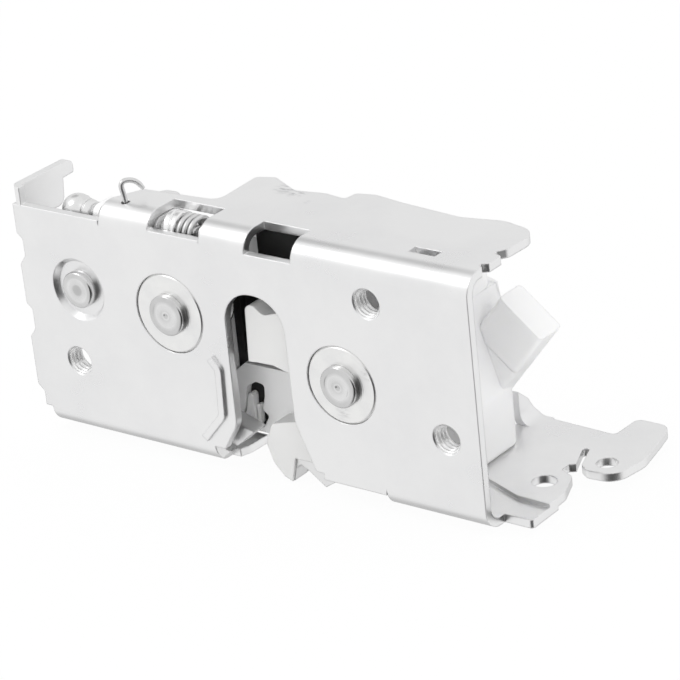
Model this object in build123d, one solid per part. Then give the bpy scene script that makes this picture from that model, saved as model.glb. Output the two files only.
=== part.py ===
"""Side door latch with its electric lock actuator, in millimetres.

+X runs along the mounting plate to the right, +Y goes into the door and +Z is up. The origin is
the datum screw hole, where its axis meets the mounting face. Places on the plate are given as u,
the distance from the plate's left edge, and v, the height above its underside. Depths behind the
face are y."""

from build123d import *
from math import cos, radians, sin
import os

os.makedirs("parts", exist_ok=True)

# Pressed frame plate
plate_length = 114.8
frame_height = 53.5
sheet = 1.8
bend_outer = 4.4
bend_inner = bend_outer - sheet
flange_under = frame_height - sheet
above_flange = frame_height + 1.0
wall_low, wall_high = bend_outer, frame_height - bend_outer
low_cut_edge = 3.0
high_cut_edge = frame_height - 3.4
past = 1.0

# Mounting holes, M6 tapped in drawn collars, the first is the datum
datum_u, datum_v = 90.7, 43.9
left_hole = (12.95, 16.8)
right_hole = (plate_length - 7.8, 18.5)
screw_radius = 3.0
collar_wall = 1.3
collar_depth = 4.2

# Pivots on the face, as u and v
claw_pivot = (82.5, 25.1)
pawl_pivot = (39.9, 32.5)
lever_pivot = (15.5, 33.4)
barrel_radius = 6.5
claw_disc_radius = 8.3
pawl_disc_radius = 8.6
rivet_radius = 3.4
stub_radius = 4.4
stub_height = 1.4
pivot_gap = 0.05

# Layers behind the face, front to back
claw_front = 2.5
coating_skin = 0.6
core_thickness = 4.0
core_front = claw_front + coating_skin
core_back = core_front + core_thickness
claw_back = core_back + coating_skin
spring_room = 3.6
layer_gap = 0.3
spring_wire = 0.6
back_sheet = 1.6
back_front = claw_back + layer_gap + spring_room
back_rear = back_front + back_sheet
lever_sheet = 1.8
lever_rear = back_front - 0.5
lever_front = lever_rear - lever_sheet
dimple = 1.2

# Striker slot
slot_left, slot_right = 54.6, 69.6
slot_top = 40.5
rib_height = 0.6
slot_corner = 0.48 * (slot_right - slot_left)

# Bottom arm
arm_raise = 0.8
arm_top = arm_raise + sheet

# Cross shaft behind the top edge, and the springs wound on it
shaft_y, shaft_v = 6.1, frame_height - 4.8
shaft_radius = 1.5
shaft_head = (9.4, 16.0)
shaft_head_radius = 3.0
shaft_end = 47.6
top_wire = 0.55
top_coil_radius = shaft_radius + top_wire + 0.15
wire_sides = 5
ears_left = (19.2, 34.6)

# Actuator case
case_left = 66.0
case_right_low, case_right_high = 101.6, 95.4
case_low = arm_top
case_bulge_low, case_bulge_high = 16.0, 35.0
case_front = back_rear
case_rear = 37.8
case_top = frame_height - 8.0
case_wall = 1.8
cover_thickness = 2.2
cover_front = case_rear - cover_thickness
low_corner, high_corner = 12.0, 7.0

# Lock drive: motor pinion on a large gear
gear_centre = (80.2, case_top - 13.9)
gear_module = 0.6
gear_teeth, pinion_teeth = 36, 10
gear_front, gear_rear = 31.8, 34.8
mesh_gap = 0.2
mesh_angle = -65.0
mesh_distance = gear_module * (gear_teeth + pinion_teeth) / 2 + mesh_gap
motor_centre = (
    gear_centre[0] + mesh_distance * cos(radians(mesh_angle)),
    gear_centre[1] + mesh_distance * sin(radians(mesh_angle)),
)
motor_radius = 8.0
motor_front, motor_rear = 15.6, 30.4
motor_shaft_radius = 1.0
output_radius = 2.9
lock_front, lock_rear = 39.4, 41.2

# Pawl and release lever: the pin of the pawl slides in the fork of the lever
pawl_lift = 12.0
pin_reach = 10.9
pin_radius = 1.5
pin_rest = (pawl_pivot[0] - pin_reach * cos(radians(4)), pawl_pivot[1] + pin_reach * sin(radians(4)))
lever_stem = 2.5

# Connector socket on the right of the case
socket_angle = 51.0
socket_mouth = (107.2, 32.9)
socket_width = 11.9
socket_length = 11.0
socket_root = 9.7
socket_front, socket_rear = 26.6, 34.0
socket_wall = 1.3
socket_floor = 2.6
terminal = 0.8
pin_spacing = 3.0
pin_recess = 1.2


def spot(u, v, y=0.0):
    """Point of the frame for a place on the plate at depth y."""
    return (u - datum_u, y, v - datum_v)


def outline(*corners):
    """Closed face through corners (a, b), rounded at those given as (a, b, radius)."""
    face = make_face(Polyline(*[corner[:2] for corner in corners], close=True))
    for a, b, radius in [corner for corner in corners if len(corner) == 3]:
        nearest = face.vertices().sort_by_distance((a, b, 0))[0]
        face = fillet(nearest, radius)
    return face


def disc(place, radius):
    """Round face at a place."""
    return Pos(place[0], place[1]) * Circle(radius)


def upright(sketch, y_front, y_back):
    """Sketch in u and v, as a solid from depth y_front to y_back."""
    face = Plane(origin=spot(0, 0, y_front), x_dir=(1, 0, 0), z_dir=(0, -1, 0))
    return extrude(face * sketch, amount=y_front - y_back)


def level(sketch, v_low, v_high):
    """Sketch in u and y, as a solid from height v_low to v_high."""
    floor = Plane(origin=spot(0, v_low), x_dir=(1, 0, 0), z_dir=(0, 0, 1))
    return extrude(floor * sketch, amount=v_high - v_low)


def across(sketch, u_left, u_right):
    """Sketch in y and v, as a solid from u_left to u_right."""
    side = Plane(origin=spot(u_left, 0), x_dir=(0, 1, 0), z_dir=(1, 0, 0))
    return extrude(side * sketch, amount=u_right - u_left)


def block(u_span, y_span, v_span):
    """Box between two values each of u, y and v."""
    low = spot(u_span[0], v_span[0], y_span[0])
    size = (u_span[1] - u_span[0], y_span[1] - y_span[0], v_span[1] - v_span[0])
    return Pos(*low) * Box(*size, align=(Align.MIN, Align.MIN, Align.MIN))


def turned(place, steps):
    """Solid of revolution about the depth axis at a place, from (depth, radius) steps."""
    points = [(0, steps[0][0])] + [(radius, depth) for depth, radius in steps] + [(0, steps[-1][0])]
    half = make_face(Polyline(*points, close=True))
    plane = Plane(origin=spot(*place), x_dir=(1, 0, 0), z_dir=(0, 0, 1))
    return revolve(plane * half, axis=Axis(spot(*place), (0, 1, 0)))


def spun(steps):
    """Solid of revolution about the cross shaft's axis, from (u, radius) steps."""
    points = [(steps[0][0], 0)] + list(steps) + [(steps[-1][0], 0)]
    half = make_face(Polyline(*points, close=True))
    plane = Plane(origin=spot(0, shaft_v, shaft_y), x_dir=(1, 0, 0), z_dir=(0, -1, 0))
    return revolve(plane * half, axis=Axis(spot(0, shaft_v, shaft_y), (1, 0, 0)))


def turn_about(shape, place, angle):
    """Shape turned clockwise, as seen from the front, about the depth axis at a place."""
    return shape.rotate(Axis(spot(*place), (0, 1, 0)), angle)


def wire_run(points, bend, radius):
    """Round wire along straight runs joined by bends."""
    path = FilletPolyline(*points, radius=bend) if len(points) > 2 else Line(*points)
    section = Plane(origin=path @ 0, z_dir=path % 0) * RegularPolygon(radius, wire_sides)
    return sweep(section, path=path)


parts = {}


# Frame plate: one pressing with the face, its flanges, the end tab and the arm
def channel_profile(depth):
    """Section of the front wall with its top and bottom flanges, in y and v."""
    return outline(
        (0, 0, bend_outer),
        (depth, 0),
        (depth, sheet),
        (sheet, sheet, bend_inner),
        (sheet, flange_under, bend_inner),
        (depth, flange_under),
        (depth, frame_height),
        (0, frame_height, bend_outer),
    )


def slot_face():
    """Striker slot, round at the top and flared at the mouth."""
    return outline(
        (slot_left, slot_top, slot_corner),
        (slot_right, slot_top, slot_corner),
        (slot_right, 14.5, 8.0),
        (75.6, 0.0),
        (75.6, -1.0),
        (46.6, -1.0),
        (49.6, 3.2),
        (slot_left - 0.4, 10.5, 5.0),
    )


def frame_wall():
    """Flat part of the front wall between the bends."""
    face = outline(
        (1.4, wall_low),
        (1.4, 7.6, 0.8),
        (-0.2, 9.0, 0.8),
        (-0.2, 20.0),
        (1.4, 22.0, 1.0),
        (1.4, 26.6, 1.0),
        (0.0, 27.6, 0.8),
        (0.0, wall_high - 12.5),
        (1.6, wall_high - 10.5, 1.0),
        (1.6, wall_high - 6.7, 1.0),
        (0.2, wall_high - 5.5, 0.6),
        (0.2, wall_high),
        (plate_length, wall_high),
        (plate_length, wall_low),
    )
    body = upright(face, 0, sheet)
    body += block((0.2, flange_left), (0, sheet), (wall_high, high_cut_edge))
    body += block(spring_window, (0, sheet), (wall_high, high_cut_edge))
    body += block(foot_gap, (0, sheet), (low_cut_edge, wall_low))
    return body


flange_left = 23.5
spring_window = (36.6, 49.9)
large_window = (61.4, 73.0)
small_window = (plate_length - 17.8, plate_length - 11.5)
foot_gap = (75.6, plate_length - 23.8)
channel_depth = 30.0
top_plan = outline(
    (flange_left, -1),
    (plate_length, -1),
    (plate_length, 5.6, 0.6),
    (plate_length - 1.8, 6.8, 0.5),
    (plate_length + 0.6, 8.2, 1.2),
    (plate_length + 0.4, 11.6, 1.2),
    (plate_length - 2.4, 12.6, 0.6),
    (plate_length - 0.6, 15.2, 2.0),
    (plate_length - 0.2, 24.2, 4.6),
    (plate_length - 9.0, 26.4, 5.0),
    (plate_length - 18.3, 24.5, 6.0),
    (80.8, 26.2, 3.0),
    (74.0, 27.4, 1.2),
    (69.8, 26.4, 0.8),
    (69.4, 23.2, 0.8),
    (64.0, 24.0, 3.0),
    (57.0, 22.8, 3.0),
    (49.0, 27.0, 1.6),
    (44.9, 25.6, 1.2),
    (45.6, 12.4, 2.6),
    (27.2, 11.0, 1.0),
    (24.0, 4.6, 1.0),
)
arm_reach = 6.6
left_foot_plan = outline((3.2, -1), (47.4, -1), (50.4, 8.0, 4.0), (50.6, back_rear), (3.2, back_rear))
arm_front_plan = Pos(plate_length, 0) * outline(
    (-23.8, -1),
    (0.0, -1),
    (0.0, 5.7),
    (arm_reach, 5.7, 0.8),
    (arm_reach, 14.5),
    (-1.8, 14.5),
    (-10.8, 18.0),
    (-23.8, 18.0),
)
arm_rear_plan = Pos(plate_length, 0) * outline(
    (-23.8, 16.4),
    (-10.8, 15.7),
    (-1.2, 12.0),
    (arm_reach, 11.6),
    (arm_reach, 17.2, 4.0),
    (4.1, 23.6, 1.4),
    (0.5, 25.0, 0.8),
    (0.5, 27.6, 0.7),
    (1.8, 28.4),
    (-0.8, 34.9, 0.6),
    (0.7, 35.1, 0.6),
    (3, 28.5, 0.8),
    (5.2, 27.0, 1.5),
    (11.6, 27.4, 4.2),
    (13, 36.0, 6.0),
    (11.4, 44.0, 6.0),
    (9.8, 50.8, 3.0),
    (2.1, 50.8, 1.5),
    (1.7, 42.8, 1.0),
    (-16.8, 43.6),
    (-16.8, 38.2),
    (-23.8, 38.2, 3.0),
)
front_cable_hole = (plate_length + 0.3, 19.4)
rear_cable_hole = (plate_length + 7.1, 31.5)
front_cable_radius, rear_cable_radius = 2.6, 2.25
ear_right = plate_length - 18.1
ear_front, ear_rear = 38.3, 44.0
hook_hole = (28.2, 4.1)
hook_clearance = 0.4


def make_frame_plate():
    """Joins the wall, the bent flanges, the tab and the arm, then cuts slot, windows and holes."""
    channel = across(channel_profile(channel_depth), 0, plate_length)
    long_channel = across(channel_profile(channel_depth), 0, plate_length + arm_reach)
    body = frame_wall()
    body += channel & level(top_plan, frame_height - bend_outer, frame_height)
    body += channel & level(left_foot_plan, 0, bend_outer)
    body += long_channel & level(arm_front_plan, 0, bend_outer)
    body += level(arm_rear_plan, arm_raise, arm_top)
    ear = upright(
        outline(
            (ear_right - sheet, 13.0),
            (ear_right - sheet, arm_raise, bend_outer),
            (ear_right + bend_outer, arm_raise),
            (ear_right + bend_outer, arm_top),
            (ear_right, arm_top, bend_inner),
            (ear_right, 13.0),
        ),
        ear_front,
        ear_rear,
    )
    ear_side = outline(
        (ear_front, 0),
        (ear_rear, 0),
        (ear_rear, 3.4, 1.0),
        (41.6, 7.2, 2.0),
        (ear_front, 10.0),
    )
    body += ear & across(ear_side, ear_right - sheet, ear_right + bend_outer)
    tab_plan = outline(
        (0, 0, 2.4),
        (8.0, 0),
        (8.0, sheet),
        (sheet, sheet, 0.6),
        (sheet, 17.6),
        (0, 17.6),
    )
    tab_low, tab_high = frame_height - 8.2, frame_height + 0.5
    tab_side = outline(
        (-1, tab_low),
        (-1, tab_high),
        (0.0, tab_high),
        (17.6, tab_high, 1.6),
        (17.6, tab_high - 3.0, 0.4),
        (14.2, tab_high - 3.2),
        (13.6, tab_low, 2.0),
    )
    tab = level(tab_plan, tab_low, tab_high) & across(tab_side, 0, 8.0)
    tab -= block((2.6, 9.0), (-1, sheet + 1), (high_cut_edge, above_flange))
    body += tab
    rib_path = FilletPolyline((49.5, 24.6), (51.4, 22.4), (50.9, 12.0), (45.6, 6.0), radius=1.6)
    body += upright(trace(rib_path, line_width=1.6), -rib_height, 0)
    body -= upright(slot_face(), -past, bend_outer + past)
    body -= block(spring_window, (sheet, 9.4), (wall_high, above_flange))
    body -= block(spring_window, (-past, 9.4), (high_cut_edge, above_flange))
    body -= block(large_window, (-past, 7.3), (wall_high + 0.1, above_flange))
    body -= block(small_window, (6.4, 8.9), (wall_high, above_flange))
    body -= level(disc(hook_hole, top_wire + hook_clearance), wall_high, above_flange)
    body -= level(disc(front_cable_hole, front_cable_radius), -past, arm_top + past)
    body -= level(disc(rear_cable_hole, rear_cable_radius), -past, arm_top + past)
    body += turned(lever_pivot, [(sheet, 8.0), (sheet + dimple, 7.2)])
    body -= turned(lever_pivot, [(0, 6.9), (dimple, 6.0)])
    body -= upright(disc(lever_pivot, lever_stem + pivot_gap), -past, sheet + dimple + past)
    for place in ((datum_u, datum_v), left_hole, right_hole):
        body += upright(disc(place, screw_radius + collar_wall), 0, collar_depth)
        body -= upright(disc(place, screw_radius), -past, collar_depth + past)
        body -= turned(place, [(0, screw_radius + 0.3), (0.3, screw_radius)])
    body -= upright(disc(claw_pivot, claw_disc_radius + pivot_gap), -past, sheet + past)
    body -= upright(disc(pawl_pivot, pawl_disc_radius + pivot_gap), -past, sheet + past)
    return body


# Back plate: carries the rear ends of both rivets, the cross shaft and the actuator
back_top = frame_height - 6.3
lever_gap = (21.3, 24.6)
back_face = outline(
    (27.0, 22.0, 4.0),
    (27.0, back_top - 8.7, 3.0),
    (ears_left[0], back_top - 6.2),
    (ears_left[0], back_top),
    (lever_gap[0], back_top),
    (lever_gap[0], back_top - 3.4),
    (lever_gap[1], back_top - 3.4),
    (lever_gap[1], back_top),
    (94.0, back_top, 3.0),
    (95.4, back_top - 7.2, 3.0),
    (95.4, 8.0, 4.0),
    (90.0, 3.2, 3.0),
    (36.0, 3.2, 4.0),
)
back_pocket = outline(
    (43.0, 3.2),
    (45.2, 4.6, 1.0),
    (46.8, 8.0, 1.0),
    (47.9, 12.9, 1.0),
    (50.4, 14.5, 1.0),
    (52.6, 14.2, 0.8),
    (52.4, 11.6, 1.0),
    (51.4, 8.4, 0.6),
    (53.0, 7.2, 0.6),
    (51.4, 4.4, 0.8),
    (48.6, 3.2),
)
back_window = outline(
    (45.4, 16.0),
    (45.4, 40.0, 3.0),
    (62.0, 40.0, 3.0),
    (62.0, 18.4, 1.0),
    (48.2, 18.4),
)
shaft_ear = outline(
    (back_front + 0.4, back_top - 6.6),
    (back_rear, back_top - 5.8),
    (back_rear, back_top, 0.8),
    (10.2, shaft_v + 2.5, 2.0),
    (3.4, shaft_v + 2.5, 2.2),
    (3.4, shaft_v - 2.7, 2.2),
    (8.2, shaft_v - 3.5, 2.0),
    (back_front, back_top - 4.0),
)
rear_screw = (92.0, case_top - 2.9)
case_screws_at = ((71.8, case_top - 21.1), rear_screw)
case_screw_radius = 1.2


def make_back_plate():
    """Flat pressing with a window behind the slot and two ears folded forward for the cross shaft."""
    body = upright(back_face - back_window, back_front, back_rear)
    for place in ears_left:
        body += across(shaft_ear, place, place + back_sheet)
    body -= across(disc((shaft_y, shaft_v), shaft_radius), 0, shaft_end + past)
    for place in (claw_pivot, pawl_pivot):
        body -= upright(disc(place, rivet_radius), back_front - past, back_rear + past)
    for place in case_screws_at:
        body -= upright(disc(place, case_screw_radius), back_front - past, back_rear + past)
    return body - upright(back_pocket, back_front, back_rear)


# Pivots: a shouldered bush pressed flush in the face and a rivet headed over at both ends
collar_step = 0.5


def make_bushing(place, disc_radius):
    """Bush with its disc in the face, its collar behind the wall and its barrel up to the back plate."""
    steps = [
        (0, disc_radius - 0.4),
        (0.4, disc_radius),
        (sheet, disc_radius),
        (sheet, disc_radius + 0.8),
        (sheet + collar_step, disc_radius + 0.8),
        (sheet + collar_step, barrel_radius),
        (back_front, barrel_radius),
    ]
    return turned(place, steps) - upright(disc(place, rivet_radius), -past, back_rear)


def make_rivet(place):
    """Rivet through bush and back plate, with the spun front head and its centre mark."""
    steps = [
        (-stub_height, stub_radius - 0.5),
        (-stub_height + 0.5, stub_radius),
        (0, stub_radius),
        (0, rivet_radius),
        (back_rear, rivet_radius),
        (back_rear, 5.0),
        (back_rear + 1.0, 5.0),
        (back_rear + 1.4, 4.4),
    ]
    return turned(place, steps)


def make_lever_rivet():
    """Stepped rivet of the release lever, headed in the pressed dimple of the face."""
    steps = [
        (-0.6, 3.5),
        (-0.2, 4.0),
        (dimple, 4.0),
        (dimple, lever_stem),
        (sheet + dimple, lever_stem),
        (sheet + dimple, 4.2),
        (lever_front - 0.2, 4.2),
        (lever_front - 0.2, lever_stem),
        (lever_rear + 0.2, lever_stem),
        (lever_rear + 0.2, 4.2),
        (lever_rear + 1.4, 4.2),
    ]
    return turned(lever_pivot, steps)


# Claw: steel core with two ratchet teeth, its prongs wrapped in white nylon
claw_hub = 10.5
notch_end = (-16.5, -6.8)
claw_face = Pos(*claw_pivot) * outline(
    (-25.3, -1.1, 0.8),
    (-24.6, 11.9, 1.6),
    (-22.5, 11.8, 1.0),
    (-20.2, 10.1, 2.0),
    (-16.5, 11.3, 4.0),
    (-7.5, 11.9, 4.0),
    (1.5, 10.3),
    (8.9, -5.5),
    (-2.9, -20.9, 2.0),
    (-5.8, -23.5),
    (-9.3, -25.75),
    (-13.3, -22.9, 1.0),
    (-15.4, -21.9, 0.8),
    (-16.6, -23.2),
    (-17.3, -26),
    (-19.3, -25.2, 0.6),
    (-21.7, -22.6, 2.0),
    (-23, -18.8),
)
claw_face += disc(claw_pivot, claw_hub)
claw_mouth = Pos(*claw_pivot) * (outline(
    (-32.5, -1.5),
    (-23, -0.6, 3.0),
    (-19, -0.5),
    (-15.9, -1.23),
    (-15.9, -12.37),
    (-18.3, -13, 3.0),
    (-21.2, -13.8, 1.5),
    (-22.8, -17.5, 2.0),
    (-23, -18.8),
    (-32.5, -18.8),
) + disc(notch_end, 5.6))
tooth_zone = Pos(*claw_pivot) * outline((-17.9, -28.1), (-16.1, -20.5), (-5.5, -20.5), (-2.5, -28.1))


def make_claw():
    """Steel core with exposed teeth, and the coating around the rest of it."""
    face = claw_face - claw_mouth - disc(claw_pivot, barrel_radius + pivot_gap)
    whole = upright(face, claw_front, claw_back)
    inner = offset(claw_face - claw_mouth, amount=-coating_skin, kind=Kind.INTERSECTION)
    core = upright(inner - disc(claw_pivot, barrel_radius + coating_skin), core_front, core_back)
    core += upright(face & tooth_zone, core_front, core_back)
    coating = whole - core - upright(tooth_zone, claw_front, claw_back)
    return core, coating


# Pawl, drawn engaged under the claw's tooth and stored lifted
pawl_hub = 10.0
pawl_arm = Pos(*pawl_pivot) * outline(
    (20.6, -20.8),
    (14.1, -20.2, 2.0),
    (10.9, -17, 4.0),
    (9.1, -4.5),
    (-1.9, 3.5),
    (-8.4, -5.5),
    (7.1, -22.9, 3.0),
    (16.7, -25.9, 1.0),
)
pin_engaged = (
    pawl_pivot[0] - pin_reach * cos(radians(pawl_lift - 4)),
    pawl_pivot[1] - pin_reach * sin(radians(pawl_lift - 4)),
)
pawl_eye = pin_radius + 1.7
pawl_tail = outline(
    (pin_engaged[0], pin_engaged[1] + pawl_eye),
    (pawl_pivot[0], pawl_pivot[1] + 9.5),
    (pawl_pivot[0], pawl_pivot[1] - 8.5),
    (pin_engaged[0], pin_engaged[1] - pawl_eye),
)


def make_pawl():
    """Steel pawl with its nose on the right and the pin hole in its tail."""
    face = pawl_arm + pawl_tail + disc(pawl_pivot, pawl_hub) + disc(pin_engaged, pawl_eye)
    face -= disc(pawl_pivot, barrel_radius + pivot_gap) + disc(pin_engaged, pin_radius)
    return turn_about(upright(face, core_front, core_back), pawl_pivot, pawl_lift)


def make_pawl_pin():
    """Pin riveted in the pawl's tail, it reaches back through the fork."""
    steps = [
        (core_front, pin_radius),
        (lever_rear - 0.2, pin_radius),
        (lever_rear + 0.1, pin_radius - 0.3),
    ]
    return turned(pin_rest, steps)


# Release lever with its fork, and the outside lever that pushes its tab
fork_gap = 0.1
fork_tip = 31.0
tab_left, tab_right = 5.8, 8.0
tab_top = 38.1
tab_rear = 18.5
lever_play = 0.4
release_face = outline(
    (15.5, 39.6),
    (fork_tip, 36.4, 1.0),
    (fork_tip, pin_rest[1] + pin_radius + fork_gap),
    (26.8, pin_rest[1] + pin_radius + fork_gap, 1.4),
    (26.8, pin_rest[1] - pin_radius - fork_gap, 1.4),
    (fork_tip, pin_rest[1] - pin_radius - fork_gap),
    (fork_tip, 30.0, 1.0),
    (15.5, 27.0),
    (9.6, 31.0),
    (tab_left, 33.4, 2.0),
    (tab_left, tab_top),
    (12.0, tab_top),
) + disc(lever_pivot, 6.4)


def make_release_lever():
    """Flat lever with a fork for the pawl's pin and a tab bent to the rear."""
    body = upright(release_face, lever_front, lever_rear)
    body += block((tab_left, tab_right), (lever_front, tab_rear), (tab_top - lever_sheet, tab_top))
    body -= upright(disc(lever_pivot, lever_stem + pivot_gap), lever_front - past, lever_rear + past)
    return body


outside_left, outside_right = 22.0, 23.8
outside_eye = 2.6
outside_rod_hole = (22.5, shaft_v - 5.4)
outside_rod_radius = 2.2
foot_front, foot_rear = 14.5, 16.3
foot_low = tab_top + lever_play
outside_face = outline(
    (shaft_y, shaft_v + outside_eye),
    (17.0, shaft_v + 0.7, 3.0),
    (26.4, shaft_v - 1.6, 3.6),
    (25.4, shaft_v - 9.4, 3.6),
    (foot_rear, shaft_v - 9.6, 0.4),
    (foot_rear, foot_low),
    (foot_front, foot_low),
    (foot_front, shaft_v - 2.8, 1.0),
    (shaft_y, shaft_v - outside_eye),
) + disc((shaft_y, shaft_v), outside_eye)


def make_outside_lever():
    """Lever on the cross shaft that reaches over the back plate, with a rod hole and a foot bent left."""
    body = across(outside_face, outside_left, outside_right)
    body += across(disc((shaft_y, shaft_v), outside_eye), outside_right, 27.0)
    body += block((5.0, outside_right), (foot_front, foot_rear), (foot_low, foot_low + 2.5))
    body -= across(disc((shaft_y, shaft_v), shaft_radius + pivot_gap), outside_left - past, 28.0)
    rod_hole = disc(outside_rod_hole, outside_rod_radius)
    body -= across(rod_hole, outside_left - past, outside_right + past)
    return body


# Cross shaft with its rings and its two springs
def make_lever_shaft():
    """Shaft with a domed head at the left, which shows behind the edge of the face."""
    left, right = shaft_head
    steps = [
        (left, shaft_head_radius - 1.4),
        (left + 0.4, shaft_head_radius - 0.6),
        (left + 1.2, shaft_head_radius),
        (right, shaft_head_radius),
        (right + 0.2, shaft_head_radius - 0.4),
        (right + 0.6, shaft_head_radius - 0.4),
        (right + 0.8, shaft_head_radius),
        (right + 1.6, shaft_head_radius),
        (right + 1.6, shaft_radius),
        (shaft_end, shaft_radius),
    ]
    return spun(steps)


def make_shaft_rings():
    """Ring beside the left ear, sleeve under the upper cut-out and ring at the right end."""
    rings = []
    for left, right, radius in ((20.9, 21.6, 2.4), (37.9, 41.2, shaft_head_radius), (46.5, 47.3, 2.4)):
        ring = disc((shaft_y, shaft_v), radius) - disc((shaft_y, shaft_v), shaft_radius)
        rings.append(across(ring, left, right))
    return rings


def shaft_coil(u_left, turns, pitch):
    """Coil on the cross shaft whose first end points down at the front."""
    path = Helix(pitch=pitch, height=turns * pitch, radius=top_coil_radius)
    section = Plane(origin=path @ 0, z_dir=path % 0) * RegularPolygon(top_wire, wire_sides)
    wire = sweep(section, path=path, is_frenet=True)
    return Plane(origin=spot(u_left, shaft_v, shaft_y), x_dir=(0, -1, 0), z_dir=(1, 0, 0)) * wire


def make_lever_spring():
    """Coil beside the outside lever with one leg down along the back of the face."""
    front = shaft_y - top_coil_radius
    body = shaft_coil(30.0, 2.8, 1.3)
    body += wire_run([spot(30.0, shaft_v, front), spot(30.0, shaft_v - 3.6, front)], 1, top_wire)
    return body


def make_hook_spring():
    """Right coil whose long leg runs left under the flange and hooks over it."""
    front = shaft_y - top_coil_radius
    hook_u, hook_y = hook_hole
    run_v = shaft_v - 4.6
    hook_top = frame_height + 4.2
    leg = [
        spot(42.2, shaft_v, front),
        spot(42.2, run_v, front),
        spot(hook_u, run_v, hook_y),
        spot(hook_u, hook_top, hook_y),
        spot(hook_u + 2.1, hook_top, hook_y + 4.0),
        spot(hook_u + 2.1, frame_height + 1.2, hook_y + 4.0),
    ]
    return shaft_coil(42.2, 2.6, 1.5) + wire_run(leg, 1.8, top_wire)


def pivot_coil(place, y_start, turns, angle):
    """Coil around a pivot's barrel."""
    pitch = 2 * spring_wire + 0.05
    path = Helix(pitch=pitch, height=turns * pitch, radius=barrel_radius + spring_wire + 0.3)
    section = Plane(origin=path @ 0, z_dir=path % 0) * RegularPolygon(spring_wire, wire_sides)
    wire = sweep(section, path=path, is_frenet=True)
    start = (cos(radians(angle)), 0, sin(radians(angle)))
    return Plane(origin=spot(*place, y_start), x_dir=start, z_dir=(0, 1, 0)) * wire


def make_claw_spring():
    """Torsion spring behind the claw."""
    return pivot_coil(claw_pivot, claw_back + spring_wire + 0.35, 1.6, 20)


def make_pawl_spring():
    """Torsion spring behind the pawl."""
    return pivot_coil(pawl_pivot, core_back + spring_wire + 0.35, 2.3, 60)


# Rubber and plastic inserts that show through the slot and the upper window
def make_bumper():
    """Rubber bumper behind the back plate, it closes its window and its pocket."""
    bumper_rear, tail_room, recess_depth = 19.0, 16.0, 15.0
    face = outline(
        (36.0, 3.2, 3.0),
        (36.0, 24.0, 3.0),
        (44.0, 41.0, 2.0),
        (62.6, 41.0, 2.0),
        (62.6, 16.0, 3.0),
        (54.6, 3.2, 3.0),
    )
    body = upright(face, back_rear, bumper_rear)
    body -= upright(disc(pawl_pivot, 5.4), back_rear, tail_room)
    recess = offset(back_window, amount=-2.0)
    return body - upright(recess, back_rear, recess_depth)


def make_upper_buffer():
    """Black buffer on the front of the back plate, it stops the claw and closes the upper window."""
    buffer_top = flange_under - 0.3
    buffer_front, ledge_front = 9.0, 8.2
    face = outline(
        (57.5, 39.6, 1.0),
        (76.0, 39.6, 1.0),
        (76.0, buffer_top, 1.0),
        (57.5, buffer_top, 1.0),
    )
    body = upright(face, buffer_front, back_front)
    ledge = outline(
        (60.0, 42.0, 0.6),
        (74.5, 42.0, 0.6),
        (74.5, 44.0, 0.6),
        (60.0, 44.0, 0.6),
    )
    return body + upright(ledge, ledge_front, buffer_front)


def make_guide_tongue():
    """White plastic tongue of two layers in the pocket of the back plate."""
    long_face = outline(
        (45.0, 3.4),
        (47.4, 7.6, 2.0),
        (48.5, 12.0, 0.4),
        (49.4, 11.2, 0.4),
        (49.3, 5.0, 2.0),
        (48.2, 3.4),
    )
    short_face = outline(
        (48.4, 3.4),
        (49.5, 5.0, 1.0),
        (49.6, 9.0),
        (50.5, 9.4, 0.3),
        (50.5, 5.2, 1.0),
        (49.4, 3.6),
    )
    long_layer = upright(long_face, back_front - 0.3, back_rear)
    return long_layer + upright(short_face, back_front + 0.4, back_rear)


# Actuator: moulded case, cover, motor, gears and the lever at the back
case_face = outline(
    (case_left, case_low, 2.0),
    (case_right_low, case_low, 1.5),
    (case_right_low, case_bulge_low, 6.0),
    (case_right_high, case_bulge_high, 6.0),
    (case_right_high, case_top, 2.5),
    (case_left, case_top, 3.0),
)
cover_screws_at = ((70.0, case_top - 3.2), rear_screw, (89.0, case_low + 4.0), (70.0, case_low + 4.0))
cover_screw_radius = 1.1
cover_screw_tip = 26.0
case_screw_tip = 19.0
screw_head_height = 1.4
boss_radius = 2.5
case_boss_rear = 22.0
pad_radius = 2.7
case_lug = (71.0, 77.4)


def case_plan(right, corner, inset):
    """Outline of the case from above, set in by a distance from its right and rear sides."""
    return outline(
        (60.0, 10.0),
        (right - inset, 10.0),
        (right - inset, case_rear - inset, corner - inset),
        (60.0, case_rear - inset),
    )


def case_column(inset):
    """Solid of the plan at every height: a slim one, and a wider one below for the motor."""
    slim = level(case_plan(case_right_high, high_corner, inset), 0, frame_height)
    return slim + level(case_plan(case_right_low, low_corner, inset), 0, case_bulge_high - inset)


socket_along = (cos(radians(socket_angle)), 0, sin(radians(socket_angle)))
socket_height = socket_rear - socket_front
socket_mouth_point = Vector(*spot(*socket_mouth, (socket_front + socket_rear) / 2))
socket_base = Plane(
    origin=socket_mouth_point - Vector(*socket_along) * socket_length,
    x_dir=(0, 1, 0),
    z_dir=socket_along,
)
socket_outline = RectangleRounded(socket_height, socket_width, 1.0)


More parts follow.
